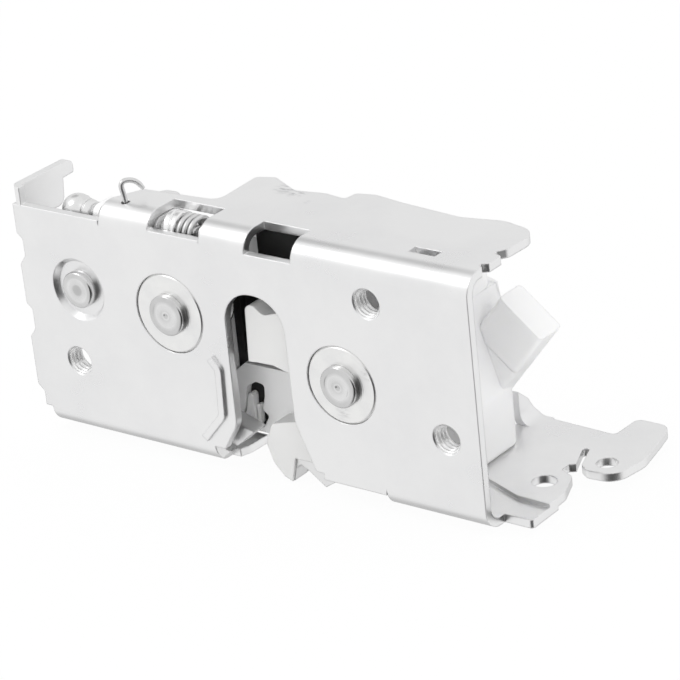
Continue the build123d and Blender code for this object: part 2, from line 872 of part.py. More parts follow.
def make_case():
    """Open case with bosses, a bearing for the output shaft, a motor cradle and the socket's root."""
    body = case_column(0) & upright(case_face, case_front, cover_front)
    body += extrude(socket_base * socket_outline, amount=-socket_root)
    inner_face = offset(case_face, amount=-case_wall)
    body -= case_column(case_wall) & upright(inner_face, case_front + case_wall, cover_front)
    cradle = block(
        (motor_centre[0] - 5.0, motor_centre[0] + 5.0),
        (18.0, 28.0),
        (case_low + 1.0, motor_centre[1] - 4.0),
    )
    body += cradle - upright(disc(motor_centre, motor_radius), motor_front, motor_rear)
    for place in cover_screws_at:
        body += upright(disc(place, boss_radius), case_front + case_wall, cover_front)
        body -= upright(disc(place, cover_screw_radius), cover_screw_tip - 1.0, cover_front)
    for place in case_screws_at:
        body += upright(disc(place, boss_radius), case_front + case_wall, case_boss_rear)
        body -= upright(disc(place, case_screw_radius), case_front, case_screw_tip + 1.0)
    body += upright(disc(gear_centre, 4.8), case_front + case_wall, gear_front - 2.0)
    body -= upright(disc(gear_centre, output_radius + pivot_gap), 24.0, gear_front)
    body -= upright(disc(claw_pivot, 5.6), case_front, case_front + case_wall)
    body -= extrude(socket_base * socket_outline, amount=socket_length)
    body += block(case_lug, (28.2, 30.0), (case_top - 1.0, flange_under - 0.2))
    return body


def make_cover():
    """Rear cover with the bearing of the output shaft and a pad under each screw head."""
    body = case_column(0) & upright(case_face, cover_front, case_rear)
    body += upright(disc(gear_centre, 5.2), case_rear, case_rear + 0.8)
    bearing = disc(gear_centre, output_radius + pivot_gap)
    body -= upright(bearing, cover_front - past, case_rear + 2 * past)
    for place in cover_screws_at:
        body += upright(disc(place, pad_radius), cover_front, case_rear)
        body -= upright(disc(place, cover_screw_radius), cover_front - past, case_rear + past)
    return body


def gear_outline(centre, teeth, first_angle):
    """Spur gear face with straight-sided teeth, one of them at first_angle."""
    pitch_radius = gear_module * teeth / 2
    root, tip = pitch_radius - 1.1 * gear_module, pitch_radius + 0.8 * gear_module
    root_share, tip_share = 0.32, 0.11
    flanks = ((root, -root_share), (tip, -tip_share), (tip, tip_share), (root, root_share))
    step = 360 / teeth
    points = []
    for tooth in range(teeth):
        middle = first_angle + tooth * step
        for radius, share in flanks:
            angle = radians(middle + share * step)
            points.append((centre[0] + radius * cos(angle), centre[1] + radius * sin(angle)))
    return make_face(Polyline(*points, close=True))


def make_drive_gear():
    """Large gear with the output shaft in one piece."""
    face = gear_outline(gear_centre, gear_teeth, mesh_angle + 180 / gear_teeth)
    body = upright(face, gear_front, gear_rear)
    body -= turned(gear_centre, [(gear_rear - 0.9, 8.2), (gear_rear + 0.1, 8.2)])
    body += upright(disc(gear_centre, 4.6), gear_front - 0.8, gear_rear)
    body += upright(disc(gear_centre, output_radius), 26.0, lock_rear + 0.6)
    return body


def make_pinion():
    """Pinion on the motor shaft."""
    face = gear_outline(motor_centre, pinion_teeth, mesh_angle + 180)
    return upright(face - disc(motor_centre, motor_shaft_radius), gear_front - 0.4, gear_rear)


def make_motor_shaft():
    """Shaft of the motor, it turns with the pinion."""
    return upright(disc(motor_centre, motor_shaft_radius), motor_rear - 6.0, gear_rear + 0.3)


def make_motor():
    """Small direct current motor with flats on its can and a bearing boss."""
    can = disc(motor_centre, motor_radius) & (
        Pos(*motor_centre) * Rectangle(4 * motor_radius, 1.5 * motor_radius)
    )
    body = upright(can, motor_front, motor_rear)
    body += upright(disc(motor_centre, 2.6), motor_rear, motor_rear + 0.7)
    body -= upright(disc(motor_centre, motor_shaft_radius + pivot_gap), motor_rear - 6.2, motor_rear + 2)
    return body


lock_rod_hole = (gear_centre[0] - 9.4, gear_centre[1] + 4.5)
lock_rod_radius = 1.9


def make_lock_lever():
    """Lever on the output shaft with a rod hole at its end."""
    hub_u, hub_v = gear_centre
    end_u, end_v = lock_rod_hole
    arm = outline(
        (hub_u + 1.6, hub_v + 4.7),
        (end_u + 0.8, end_v + 4.0),
        (end_u - 1.8, end_v - 3.6),
        (hub_u - 1.6, hub_v - 4.7),
    )
    arm += disc(gear_centre, 5.0) + disc(lock_rod_hole, 4.1)
    body = upright(arm, lock_front, lock_rear)
    body -= upright(disc(gear_centre, output_radius), lock_front - past, lock_rear + past)
    body -= upright(disc(lock_rod_hole, lock_rod_radius), lock_front - past, lock_rear + past)
    return body


def screw_set(places, radius, head_radius, y_head, y_tip, direction):
    """Screws at several places, heads at y_head, their stems running to y_tip."""
    screws = []
    for place in places:
        stem = upright(disc(place, radius), min(y_head, y_tip), max(y_head, y_tip))
        low, high = sorted((y_head, y_head - direction * screw_head_height))
        head = upright(disc(place, head_radius), low, high)
        screws.append(stem + head)
    return screws


def make_socket():
    """Connector socket beside the case, open to the rear, with three bent terminal pins."""
    shell = extrude(socket_base * socket_outline, amount=socket_length)
    hollow = Box(
        socket_height,
        socket_width - 2 * socket_wall,
        socket_length - 2 * socket_wall,
        align=(Align.MIN, Align.CENTER, Align.MIN),
    )
    shell -= socket_base * Pos(socket_floor - socket_height / 2, 0, socket_wall) * hollow
    pins = []
    leg_depth = (socket_floor - socket_height) / 2
    post_length = socket_height / 2 - pin_recess - leg_depth
    pin_align = (Align.MIN, Align.CENTER, Align.MIN)
    leg = Box(terminal, terminal, socket_length / 2, align=pin_align)
    post = Box(post_length, terminal, terminal, align=pin_align)
    for shift in (-pin_spacing, 0.0, pin_spacing):
        pin = Pos(leg_depth, shift, 0) * leg
        pin += Pos(leg_depth, shift, socket_length / 2 - terminal) * post
        pins.append(socket_base * pin)
    for pin in pins:
        shell -= pin
    return shell, pins


parts["frame_plate"] = make_frame_plate()
parts["back_plate"] = make_back_plate()
parts["claw_bushing"] = make_bushing(claw_pivot, claw_disc_radius)
parts["claw_rivet"] = make_rivet(claw_pivot)
parts["pawl_bushing"] = make_bushing(pawl_pivot, pawl_disc_radius)
parts["pawl_rivet"] = make_rivet(pawl_pivot)
parts["lever_rivet"] = make_lever_rivet()
parts["claw_core"], parts["claw_coating"] = make_claw()
parts["pawl"] = make_pawl()
parts["pawl_pin"] = make_pawl_pin()
parts["release_lever"] = make_release_lever()
parts["outside_lever"] = make_outside_lever()
parts["lever_shaft"] = make_lever_shaft()
parts["shaft_rings"] = Compound(children=make_shaft_rings())
parts["lever_spring"] = make_lever_spring()
parts["hook_spring"] = make_hook_spring()
parts["claw_spring"] = make_claw_spring()
parts["pawl_spring"] = make_pawl_spring()
parts["stop_bumper"] = make_bumper()
parts["upper_buffer"] = make_upper_buffer()
parts["guide_tongue"] = make_guide_tongue()
parts["actuator_case"] = make_case()
parts["actuator_cover"] = make_cover()
parts["motor"] = make_motor()
parts["motor_shaft"] = make_motor_shaft()
parts["motor_pinion"] = make_pinion()
parts["drive_gear"] = make_drive_gear()
parts["lock_lever"] = make_lock_lever()
parts["cover_screws"] = Compound(
    children=screw_set(cover_screws_at, cover_screw_radius, 2.1, case_rear, cover_screw_tip, -1)
)
parts["case_screws"] = Compound(
    children=screw_set(case_screws_at, case_screw_radius, 2.2, back_front, case_screw_tip, 1)
)
parts["connector_socket"], terminal_list = make_socket()
parts["terminal_pins"] = Compound(children=terminal_list)

for name, shape in parts.items():
    export_step(shape, f"parts/{name}.step")
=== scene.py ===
"""Looks of a side door latch with its lock actuator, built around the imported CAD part."""

import bmesh
import bpy
import numpy as np
from mathutils import Matrix, Vector


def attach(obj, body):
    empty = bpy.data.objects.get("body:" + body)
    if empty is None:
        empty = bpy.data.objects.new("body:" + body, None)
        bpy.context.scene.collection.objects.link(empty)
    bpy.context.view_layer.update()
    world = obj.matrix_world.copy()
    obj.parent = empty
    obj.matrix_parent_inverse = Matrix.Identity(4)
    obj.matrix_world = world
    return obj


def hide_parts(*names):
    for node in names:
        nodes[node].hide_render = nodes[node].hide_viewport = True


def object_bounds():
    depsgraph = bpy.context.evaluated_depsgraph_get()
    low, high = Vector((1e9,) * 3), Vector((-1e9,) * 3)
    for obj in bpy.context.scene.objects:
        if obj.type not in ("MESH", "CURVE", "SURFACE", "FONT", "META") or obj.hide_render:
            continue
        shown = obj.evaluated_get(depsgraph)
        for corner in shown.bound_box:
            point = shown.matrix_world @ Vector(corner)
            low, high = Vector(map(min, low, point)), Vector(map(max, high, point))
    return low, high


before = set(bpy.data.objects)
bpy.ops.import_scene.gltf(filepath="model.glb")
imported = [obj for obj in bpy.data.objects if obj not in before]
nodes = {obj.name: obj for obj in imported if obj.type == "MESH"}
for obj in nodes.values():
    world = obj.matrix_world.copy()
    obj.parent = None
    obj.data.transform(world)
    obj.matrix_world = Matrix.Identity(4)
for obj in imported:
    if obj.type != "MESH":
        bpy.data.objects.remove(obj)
cad_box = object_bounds()


# Frame plate. One pressing of 1.8 mm steel with bright zinc plating, bent at top and bottom.
# Rolling left a faint grain along its length, and handling left scuffs near the rear of the top.
def shader(name):
    """New node material, its Principled shader and a function that adds a node to it."""
    material = bpy.data.materials.new(name)
    material.use_nodes = True
    tree = material.node_tree
    surface = tree.nodes["Principled BSDF"]

    def add(kind, **settings):
        node = tree.nodes.new("ShaderNode" + kind)
        for key, value in settings.items():
            if key in node.inputs:
                node.inputs[key].default_value = value
            else:
                setattr(node, key, value)
        return node

    return material, tree.links, surface, add


def place(add, links, scale=(1, 1, 1), centre=(0, 0, 0)):
    """Object coordinates moved so that centre is their zero, then scaled along each axis."""
    coordinates = add("TexCoord")
    mapping = add("Mapping", vector_type="POINT")
    mapping.inputs["Scale"].default_value = scale
    mapping.inputs["Location"].default_value = [-c * s for c, s in zip(centre, scale)]
    links.new(coordinates.outputs["Object"], mapping.inputs["Vector"])
    return mapping.outputs["Vector"]


def span(add, links, source, low, high, first, last):
    """Source taken from the span low to high, and eased over into first to last."""
    node = add("MapRange", interpolation_type="SMOOTHSTEP")
    for name, value in zip(("From Min", "From Max", "To Min", "To Max"), (low, high, first, last)):
        node.inputs[name].default_value = value
    links.new(source, node.inputs["Value"])
    return node.outputs["Result"]


def combine(add, links, operation, first, second):
    """Math node over two sources, or a source and a number."""
    node = add("Math", operation=operation)
    links.new(first, node.inputs[0])
    if isinstance(second, (int, float)):
        node.inputs[1].default_value = second
    else:
        links.new(second, node.inputs[1])
    return node.outputs["Value"]


def ramp(add, links, source, stops):
    """Colour ramp over (position, colour) stops; a colour may be a single grey."""
    node = add("ValToRGB")
    links.new(source, node.inputs["Fac"])
    while len(node.color_ramp.elements) < len(stops):
        node.color_ramp.elements.new(0.5)
    for element, (position, colour) in zip(node.color_ramp.elements, stops):
        element.position = position
        element.color = (*colour, 1) if isinstance(colour, tuple) else (colour, colour, colour, 1)
    return node.outputs["Color"]


def tinted(add, links, factor, colour, tint):
    """Colour that goes over to a tint by a factor."""
    node = add("Mix", data_type="RGBA")
    links.new(factor, node.inputs["Factor"])
    links.new(colour, node.inputs[6])
    node.inputs[7].default_value = (*tint, 1)
    return node.outputs[2]


def rounded(add, links, height, strength, distance, radius):
    """Normal with softened corners of the given radius, and a fine relief on top."""
    corner = add("Bevel", samples=6)
    corner.inputs["Radius"].default_value = radius
    relief = add("Bump")
    relief.inputs["Strength"].default_value = strength
    relief.inputs["Distance"].default_value = distance
    links.new(height, relief.inputs["Height"])
    links.new(corner.outputs["Normal"], relief.inputs["Normal"])
    return relief.outputs["Normal"]


def rubbed(add, links, marks):
    """Mask of rubbed streaks: a noise drawn out along X, faint everywhere.
    It is strong near each mark, given as its centre and its reach."""
    noise = add("TexNoise", Scale=1.0, Detail=5.0, Roughness=0.7)
    links.new(place(add, links, (420, 1700, 1700)), noise.inputs["Vector"])
    mask = span(add, links, noise.outputs["Fac"], 0.66, 0.8, 0.0, 0.4)
    for centre, reach in marks:
        distance = add("VectorMath", operation="LENGTH")
        links.new(place(add, links, (1, 1, 1), centre), distance.inputs[0])
        near = span(add, links, distance.outputs["Value"], 0.1 * reach, reach, 1.0, 0.0)
        streaks = span(add, links, noise.outputs["Fac"], 0.42, 0.66, 0.0, 1.0)
        mask = combine(add, links, "MAXIMUM", mask, combine(add, links, "MULTIPLY", near, streaks))
    return mask


def plated_steel(name, light, dark, rough, grain=(90, 900, 900), relief=0.1, marks=(), metal=1.0):
    """Zinc-plated steel: cloudy brightness, drawn grain, blotchy gloss and rubbed marks, all from noise.
    A share of metal under 1 makes the surface paler and more diffuse; here it is used as painted light to
    lift shaded parts."""
    material, links, surface, add = shader(name)
    surface.inputs["Metallic"].default_value = metal
    clouds = add("TexNoise", Scale=42.0, Detail=5.0, Roughness=0.6)
    links.new(place(add, links), clouds.inputs["Vector"])
    grain_noise = add("TexNoise", Scale=3.0, Detail=4.0, Roughness=0.7)
    links.new(place(add, links, grain), grain_noise.inputs["Vector"])
    worn = rubbed(add, links, marks)
    colour = ramp(add, links, clouds.outputs["Fac"], [(0.3, dark), (0.62, light)])
    links.new(tinted(add, links, worn, colour, (0.5, 0.5, 0.51)), surface.inputs["Base Color"])
    gloss = span(add, links, clouds.outputs["Fac"], 0.3, 0.7, rough - 0.04, rough + 0.06)
    dulled = combine(add, links, "MULTIPLY", worn, 0.2)
    links.new(combine(add, links, "ADD", gloss, dulled), surface.inputs["Roughness"])
    scratched = combine(add, links, "MULTIPLY", worn, 0.5)
    height = combine(add, links, "SUBTRACT", grain_noise.outputs["Fac"], scratched)
    links.new(rounded(add, links, height, relief, 0.00004, 0.0004), surface.inputs["Normal"])
    return material


def dress(material, *names):
    """Gives CAD nodes a material in every slot."""
    for name in names:
        slots = nodes[name].data.materials
        slots.clear()
        slots.append(material)


scuffs = [
    ((-0.0358, 0.0228, 0.0096), 0.0035),
    ((-0.0322, 0.0216, 0.0096), 0.0026),
    ((-0.0274, 0.0188, 0.0096), 0.001),
]
face_light, face_dark = (0.895, 0.895, 0.895), (0.825, 0.825, 0.83)
face_steel = plated_steel("face_zinc", face_light, face_dark, 0.3, marks=scuffs)
dress(face_steel, "frame_plate")


# Threads of the three M6 holes, cut in the drawn collars of the plate.
# Each is a ring whose inner side is a helix of 1 mm pitch that stands in from the hole's wall.
crease = np.radians(40)


def skin(name, grid, joined, material, body, slot, *stands_for):
    """Closed mesh over a grid of points in millimetres: each row is a ring.
    The first and last rows are capped, or joined up to one another."""
    rows, columns = grid.shape[:2]
    index = np.arange(rows * columns).reshape(rows, columns)
    if joined:
        low, high = index, np.roll(index, -1, axis=0)
    else:
        low, high = index[:-1], index[1:]
    quads = np.stack([low, np.roll(low, -1, axis=1), np.roll(high, -1, axis=1), high], axis=-1)
    faces = quads.reshape(-1, 4).tolist()
    if not joined:
        faces += [index[0].tolist(), index[-1].tolist()]
    mesh = bpy.data.meshes.new(name)
    mesh.from_pydata((grid.reshape(-1, 3) / 1000).tolist(), [], faces)
    work = bmesh.new()
    work.from_mesh(mesh)
    bmesh.ops.recalc_face_normals(work, faces=work.faces)
    work.to_mesh(mesh)
    work.free()
    mesh.shade_smooth()
    mesh.set_sharp_from_angle(angle=crease)
    piece = bpy.data.objects.new(name, mesh)
    bpy.context.scene.collection.objects.link(piece)
    mesh.materials.append(material)
    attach(piece, body)
    if stands_for:
        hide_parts(*stands_for)
    return piece


def thread_ring(centre, radius, depth, pitch, length):
    """Inner radius less a triangle wave of (y / pitch - turn angle / 360).
    A plain outer wall closes the ring."""
    wall, start = 0.15, 0.4
    angle = np.linspace(0.0, 2 * np.pi, 48, endpoint=False)[:, None]
    along = np.linspace(0.0, length, int(length / pitch * 8) + 1)[None, :]
    phase = (along / pitch - angle / (2 * np.pi)) % 1.0
    crest = 1.0 - np.abs(2.0 * phase - 1.0)
    run_out = 0.4 * pitch
    fade = np.clip(np.minimum(along, length - along) / run_out, 0.0, 1.0)
    inner = radius - depth * crest * fade
    outer = np.full((len(angle), 2), radius + wall)
    reach = np.concatenate([inner, outer], axis=1)
    steps = np.concatenate([along, [[length, 0.0]]], axis=1) + 0.0 * angle
    x = centre[0] + reach * np.cos(angle)
    z = centre[1] + reach * np.sin(angle)
    return np.stack([x, start + steps, z], axis=-1)


# The threads are written paler and less metallic than the face: painted light, to lift them in the holes'
# shade.
thread_light, thread_dark = (0.92, 0.92, 0.92), (0.86, 0.86, 0.86)
thread_steel_painted_light = plated_steel("thread_zinc", thread_light, thread_dark, 0.24, metal=0.6)
thread_radius, thread_depth, thread_pitch, thread_length = 3.0, 0.55, 1.0, 3.6
screw_holes = {
    "thread_upper": (0.0, 0.0),
    "thread_lower": (16.3, -25.4),
    "thread_left": (-77.75, -27.1),
}
for name, centre in screw_holes.items():
    ring = thread_ring(centre, thread_radius, thread_depth, thread_pitch, thread_length)
    skin(name, ring, True, thread_steel_painted_light, "frame", "zinc_steel")


# Back plate. A second pressing, 1.6 mm thick, written near white and barely metallic: painted light, to
# lift it in the slot's shade.
# It holds the rear ends of both rivets and shows grey through the striker slot.
back_steel_painted_light = plated_steel("back_zinc", (0.97, 0.97, 0.97), (0.92, 0.92, 0.92), 0.45, metal=0.1)
dress(back_steel_painted_light, "back_plate")


# Pivots. Turned steel bushes pressed flush in the face, and rivets spun over at the front.
# The lathe and the spinning tool left fine rings and a centre mark, the press dented the claw's bush. The
# broad bands of brightness on the rivet heads are painted shade and highlight.
ring_wave = 14000.0
tone_reach = 0.005


def turned_steel(name, centre, light, dark, rough, marks=(), painted_bands=((0.0, 1.0), (1.0, 1.0))):
    """Plated steel with rings: relief is a wave of the distance from the axis through centre along Y.
    The brightness follows a ramp of pairs of distance in tone_reach and share; bands given there are
    painted shade and highlight."""
    material, links, surface, add = shader(name)
    surface.inputs["Metallic"].default_value = 1.0
    distance = add("VectorMath", operation="LENGTH")
    links.new(place(add, links, (1, 0, 1), centre), distance.inputs[0])
    wave = combine(add, links, "MULTIPLY", distance.outputs["Value"], ring_wave)
    turns = combine(add, links, "SINE", wave, 0.0)
    clouds = add("TexNoise", Scale=260.0, Detail=4.0)
    links.new(place(add, links), clouds.inputs["Vector"])
    worn = rubbed(add, links, marks)
    colour = ramp(add, links, clouds.outputs["Fac"], [(0.3, dark), (0.65, light)])
    share = combine(add, links, "MULTIPLY", distance.outputs["Value"], 1.0 / tone_reach)
    # Painted shade and highlight: brightness in bands by distance from the axis.
    rings = ramp(add, links, share, painted_bands)
    shade = add("Mix", data_type="RGBA", blend_type="MULTIPLY")
    shade.inputs["Factor"].default_value = 1.0
    links.new(tinted(add, links, worn, colour, (0.66, 0.66, 0.66)), shade.inputs[6])
    links.new(rings, shade.inputs[7])
    links.new(shade.outputs[2], surface.inputs["Base Color"])
    surface.inputs["Roughness"].default_value = rough
    height = combine(add, links, "SUBTRACT", turns, combine(add, links, "MULTIPLY", worn, 3.0))
    links.new(rounded(add, links, height, 0.2, 0.00002, 0.00025), surface.inputs["Normal"])
    return material


def lathe(centre, axis, profile, sides=72):
    """Rings about an axis through centre: each (along, radius) of the profile is one circle."""
    along, radius = np.array(profile, dtype=float).T
    turn = np.linspace(0.0, 2 * np.pi, sides, endpoint=False)
    first = np.roll(axis, 1)
    second = np.cross(axis, first)
    circle = np.cos(turn)[:, None] * first + np.sin(turn)[:, None] * second
    return np.array(centre) + along[:, None, None] * np.array(axis) + radius[:, None, None] * circle


def in_metres(centre):
    """Centre in millimetres as the centre of a material's pattern."""
    return tuple(value / 1000 for value in centre)


depth_axis = np.array([0.0, 1.0, 0.0])
claw_place = (-8.2, 0.0, -18.8)
pawl_place = (-50.8, 0.0, -11.4)
lever_place = (-75.2, 0.0, -10.5)
back_rear = 13.2
spun_head = [
    (-1.02, 0.02), (-1.05, 0.25), (-1.28, 0.6), (-1.3, 0.8), (-1.24, 1.0),
    (-1.3, 1.25), (-1.36, 1.6), (-1.36, 2.3), (-1.26, 2.6), (-1.24, 2.9),
    (-1.34, 3.2), (-1.4, 3.5), (-1.4, 3.85), (-1.3, 4.15), (-1.1, 4.35),
]
rivet_shank = [(-0.8, 4.4), (-0.02, 4.4), (-0.02, 3.38)]
rivet_tail = [
    (back_rear, 3.38), (back_rear, 4.9), (back_rear + 0.3, 5.0), (back_rear + 0.9, 5.0),
    (back_rear + 1.3, 4.5), (back_rear + 1.38, 3.2), (back_rear + 1.25, 2.4), (back_rear + 1.25, 0.02),
]
rivet_profile = spun_head + rivet_shank + rivet_tail
# Bands across the spun heads: the dark centre is the centre mark; the other bands, darkest over the
# rounded rim, are painted shade and highlight.
head_painted_bands = (
    (0.0, 0.72), (0.1, 0.74), (0.15, 0.9), (0.22, 0.8), (0.34, 0.88),
    (0.5, 0.92), (0.58, 0.82), (0.66, 0.74), (0.85, 0.72), (0.9, 0.9),
)
rivet_light, rivet_dark = (0.9, 0.9, 0.9), (0.82, 0.82, 0.82)
for name, centre in (("claw", claw_place), ("pawl", pawl_place)):
    steel = turned_steel(
        name + "_rivet_steel", in_metres(centre), rivet_light, rivet_dark, 0.18, painted_bands=head_painted_bands
    )
    rings = lathe(centre, depth_axis, rivet_profile)
    skin(name + "_rivet_spun", rings, False, steel, "frame", "zinc_steel", name + "_rivet")

claw_dents = [
    ((-0.0017, 0.0, -0.0152), 0.0022),
    ((-0.015, 0.0, -0.0252), 0.0026),
    ((-0.0085, 0.0, -0.0246), 0.0024),
]
bush_light, bush_dark = (0.9, 0.9, 0.89), (0.83, 0.83, 0.83)
claw_bush_steel = turned_steel(
    "claw_bush_steel", in_metres(claw_place), bush_light, bush_dark, 0.3, claw_dents
)
dress(claw_bush_steel, "claw_bushing")
pawl_bush_steel = turned_steel(
    "pawl_bush_steel", in_metres(pawl_place), bush_light, bush_dark, 0.28
)
dress(pawl_bush_steel, "pawl_bushing")

lever_head = [
    (-0.3, 0.02), (-0.32, 0.8), (-0.44, 1.3), (-0.5, 1.6), (-0.5, 2.2),
    (-0.46, 2.5), (-0.58, 2.9), (-0.6, 3.4), (-0.5, 3.75), (-0.2, 3.98),
]
lever_shank = [(1.18, 4.0), (1.18, 2.48), (3.0, 2.48), (3.0, 4.2), (9.1, 4.2), (9.1, 2.48)]
lever_tail = [(11.3, 2.48), (11.3, 4.0), (11.5, 4.2), (12.3, 4.1), (12.5, 3.7), (12.5, 0.02)]
# Bands across the lever rivet's head: the dark centre is the centre mark; the other bands, with a darker
# one inside the rim, are painted shade and highlight.
lever_painted_bands = (
    (0.0, 0.6), (0.2, 0.64), (0.28, 0.82), (0.5, 0.9), (0.6, 0.78), (0.72, 0.76), (0.8, 0.9),
)
pin_dark = (0.8, 0.8, 0.8)
lever_pin_steel = turned_steel(
    "lever_rivet_steel", in_metres(lever_place), rivet_light, pin_dark, 0.2, painted_bands=lever_painted_bands
)
rings = lathe(lever_place, depth_axis, lever_head + lever_shank + lever_tail)
skin("lever_rivet_spun", rings, False, lever_pin_steel, "frame", "zinc_steel", "lever_rivet")


# Claw and pawl. Fine-blanked hardened steel; the claw's prongs are wrapped in white nylon.
# The nylon is moulded round the steel and smooth, only the ratchet teeth are left bare.
blank_light, blank_dark = (0.82, 0.82, 0.82), (0.7, 0.7, 0.7)
claw_steel = plated_steel("blanked_steel", blank_light, blank_dark, 0.3, (400, 60, 400))
dress(claw_steel, "claw_core", "pawl")
pin_steel = turned_steel("pin_steel", in_metres(pawl_place), (0.8, 0.8, 0.8), blank_dark, 0.3)
dress(pin_steel, "pawl_pin")


def moulded(name, light, dark, rough, glow):
    """Moulded plastic: faint flow clouds in the colour, a fine spark texture and light under the skin."""
    material, links, surface, add = shader(name)
    clouds = add("TexNoise", Scale=60.0, Detail=3.0)
    links.new(place(add, links), clouds.inputs["Vector"])
    colour = ramp(add, links, clouds.outputs["Fac"], [(0.3, dark), (0.7, light)])
    links.new(colour, surface.inputs["Base Color"])
    surface.inputs["Roughness"].default_value = rough
    surface.inputs["Subsurface Weight"].default_value = glow
    surface.inputs["Subsurface Radius"].default_value = (0.001, 0.001, 0.0009)
    surface.inputs["Subsurface Scale"].default_value = 1.0
    spark = add("TexNoise", Scale=2600.0, Detail=2.0)
    links.new(place(add, links), spark.inputs["Vector"])
    links.new(rounded(add, links, spark.outputs["Fac"], 0.08, 0.00003, 0.0004), surface.inputs["Normal"])
    return material


# The claw's white nylon is written mid grey: painted shade, its colour darkened to the shade it lies in.
dress(moulded("claw_nylon", (0.65, 0.65, 0.645), (0.61, 0.61, 0.605), 0.3, 0.1), "claw_coating")
# The tongue's white nylon is written near full white: painted light, to lift it in the slot's shade.
dress(moulded("guide_nylon", (0.98, 0.98, 0.975), (0.96, 0.96, 0.955), 0.28, 0.35), "guide_tongue")


# Levers. The release lever and the outside lever are flat zinc-plated stampings.
# The lock lever at the back is pressed on the actuator's output shaft.
lever_light, lever_dark = (0.86, 0.86, 0.85), (0.76, 0.76, 0.77)
lever_steel = plated_steel("lever_zinc", lever_light, lever_dark, 0.32, (500, 500, 80))
dress(lever_steel, "release_lever", "outside_lever", "lock_lever")


# Cross shaft behind the top edge. A turned pin with a domed head, two snap rings and a smooth sleeve.
# The sleeve under the upper cut-out carries two long wraps, pressed in as shallow grooves.
length_axis = np.array([1.0, 0.0, 0.0])
shaft_place = (-90.7, 6.1, 4.8)
along_shaft = (60, 1500, 1500)
shaft_light, shaft_dark = (0.86, 0.86, 0.86), (0.76, 0.76, 0.76)
shaft_steel = plated_steel("shaft_steel", shaft_light, shaft_dark, 0.2, along_shaft)
shaft_radius, dome_middle, dome_length, dome_radius = 1.5, 12.9, 3.5, 3.3
dome_turn = np.radians(np.linspace(0.5, 104.0, 20))
dome = list(zip(dome_middle - dome_length * np.cos(dome_turn), dome_radius * np.sin(dome_turn)))
neck = [
    (14.2, 3.1), (14.5, 2.9), (15.6, 2.65), (15.75, 2.4), (15.95, 2.4), (16.1, 2.6),
    (17.4, 2.3), (17.6, 2.1), (17.6, shaft_radius),
]
shaft_end = [(47.3, shaft_radius), (47.6, 1.3), (47.6, 0.02)]
rings = lathe(shaft_place, length_axis, dome + neck + shaft_end)
skin("shaft_turned", rings, False, shaft_steel, "frame", "zinc_steel", "lever_shaft")


def sleeve_ring(left, right, radius, bore, groove, wind):
    """Tube whose outer radius dips by groove where (u - left + wind * turn) comes round
    once every half length. Its left rim is turned in over lip, its right rim over chamfer."""
    lip, chamfer, drop = 0.9, 0.3, 0.2
    turn = np.linspace(0.0, 2 * np.pi, 72, endpoint=False)[:, None]
    along = np.linspace(left, right, 41)[None, :]
    step = (right - left) / 2
    phase = (along - left + wind * turn / (2 * np.pi)) / step % 1.0
    dip = groove * np.exp(-(((phase - 0.5) / 0.09) ** 2))
    left_rim = lip * np.clip(1.0 - (along - left) / lip, 0.0, 1.0) ** 2
    right_rim = drop * np.clip(1.0 - (right - along) / chamfer, 0.0, 1.0) ** 2
    outer = radius - dip - left_rim - right_rim
    reach = np.concatenate([outer, np.full((len(turn), 2), bore)], axis=1)
    steps = np.concatenate([along, [[right, left]]], axis=1) + 0.0 * turn
    y = shaft_place[1] - reach * np.cos(turn)
    z = shaft_place[2] + reach * np.sin(turn)
    return np.stack([shaft_place[0] + steps, y, z], axis=-1)


sleeve_light, sleeve_dark = (0.92, 0.92, 0.92), (0.86, 0.86, 0.86)
sleeve_steel = plated_steel("sleeve_steel", sleeve_light, sleeve_dark, 0.16, along_shaft)
sleeve_left, sleeve_right, sleeve_radius, groove_depth, wind = 37.9, 41.6, 4.0, 0.3, 3.7
sleeve = sleeve_ring(sleeve_left, sleeve_right, sleeve_radius, shaft_radius, groove_depth, wind)
skin("shaft_sleeve", sleeve, True, sleeve_steel, "frame", "zinc_steel", "shaft_rings")
ring_radius, ring_edge = 2.4, 0.12
for name, left, right in (("snap_ring_left", 20.9, 21.6), ("snap_ring_right", 46.5, 47.3)):
    steps = [
        (left, shaft_radius), (left, ring_radius - 0.1), (left + ring_edge, ring_radius),
        (right - ring_edge, ring_radius), (right, ring_radius - 0.1), (right, shaft_radius),
    ]
    rings = lathe(shaft_place, length_axis, steps)
    skin(name, rings, True, shaft_steel, "frame", "zinc_steel", "shaft_rings")


# Torsion springs. Drawn wire wound on the cross shaft and round the two pivots, greyer than the plates.
# The right one's long leg runs left under the flange, comes up through its hole and hooks over it.
def spot(u, v, y):
    """Point in millimetres from the place along the plate, the height and the depth."""
    return np.array([u - 90.7, y, v - 43.9])


def bent(corners, bend):
    """Run through corners, each one cut by a quadratic curve that starts and ends at bend from it."""
    corners = [np.array(corner, dtype=float) for corner in corners]
    curve = np.linspace(0.0, 1.0, 13)[:, None]
    pieces = [corners[0][None, :]]
    for before, corner, after in zip(corners, corners[1:], corners[2:]):
        start = corner + (before - corner) / np.linalg.norm(before - corner) * bend
        end = corner + (after - corner) / np.linalg.norm(after - corner) * bend
        pieces.append((1 - curve) ** 2 * start + 2 * curve * (1 - curve) * corner + curve**2 * end)
    return np.concatenate(pieces + [corners[-1][None, :]])


def coil(centre, first, second, axis, radius, turns, pitch):
    """Helix about an axis through centre, from the first direction towards the second."""
    turn = np.linspace(0.0, 2 * np.pi * turns, int(40 * turns))[:, None]
    ring = radius * (np.cos(turn) * np.array(first) + np.sin(turn) * np.array(second))
    return np.array(centre) + ring + turn / (2 * np.pi) * pitch * np.array(axis)


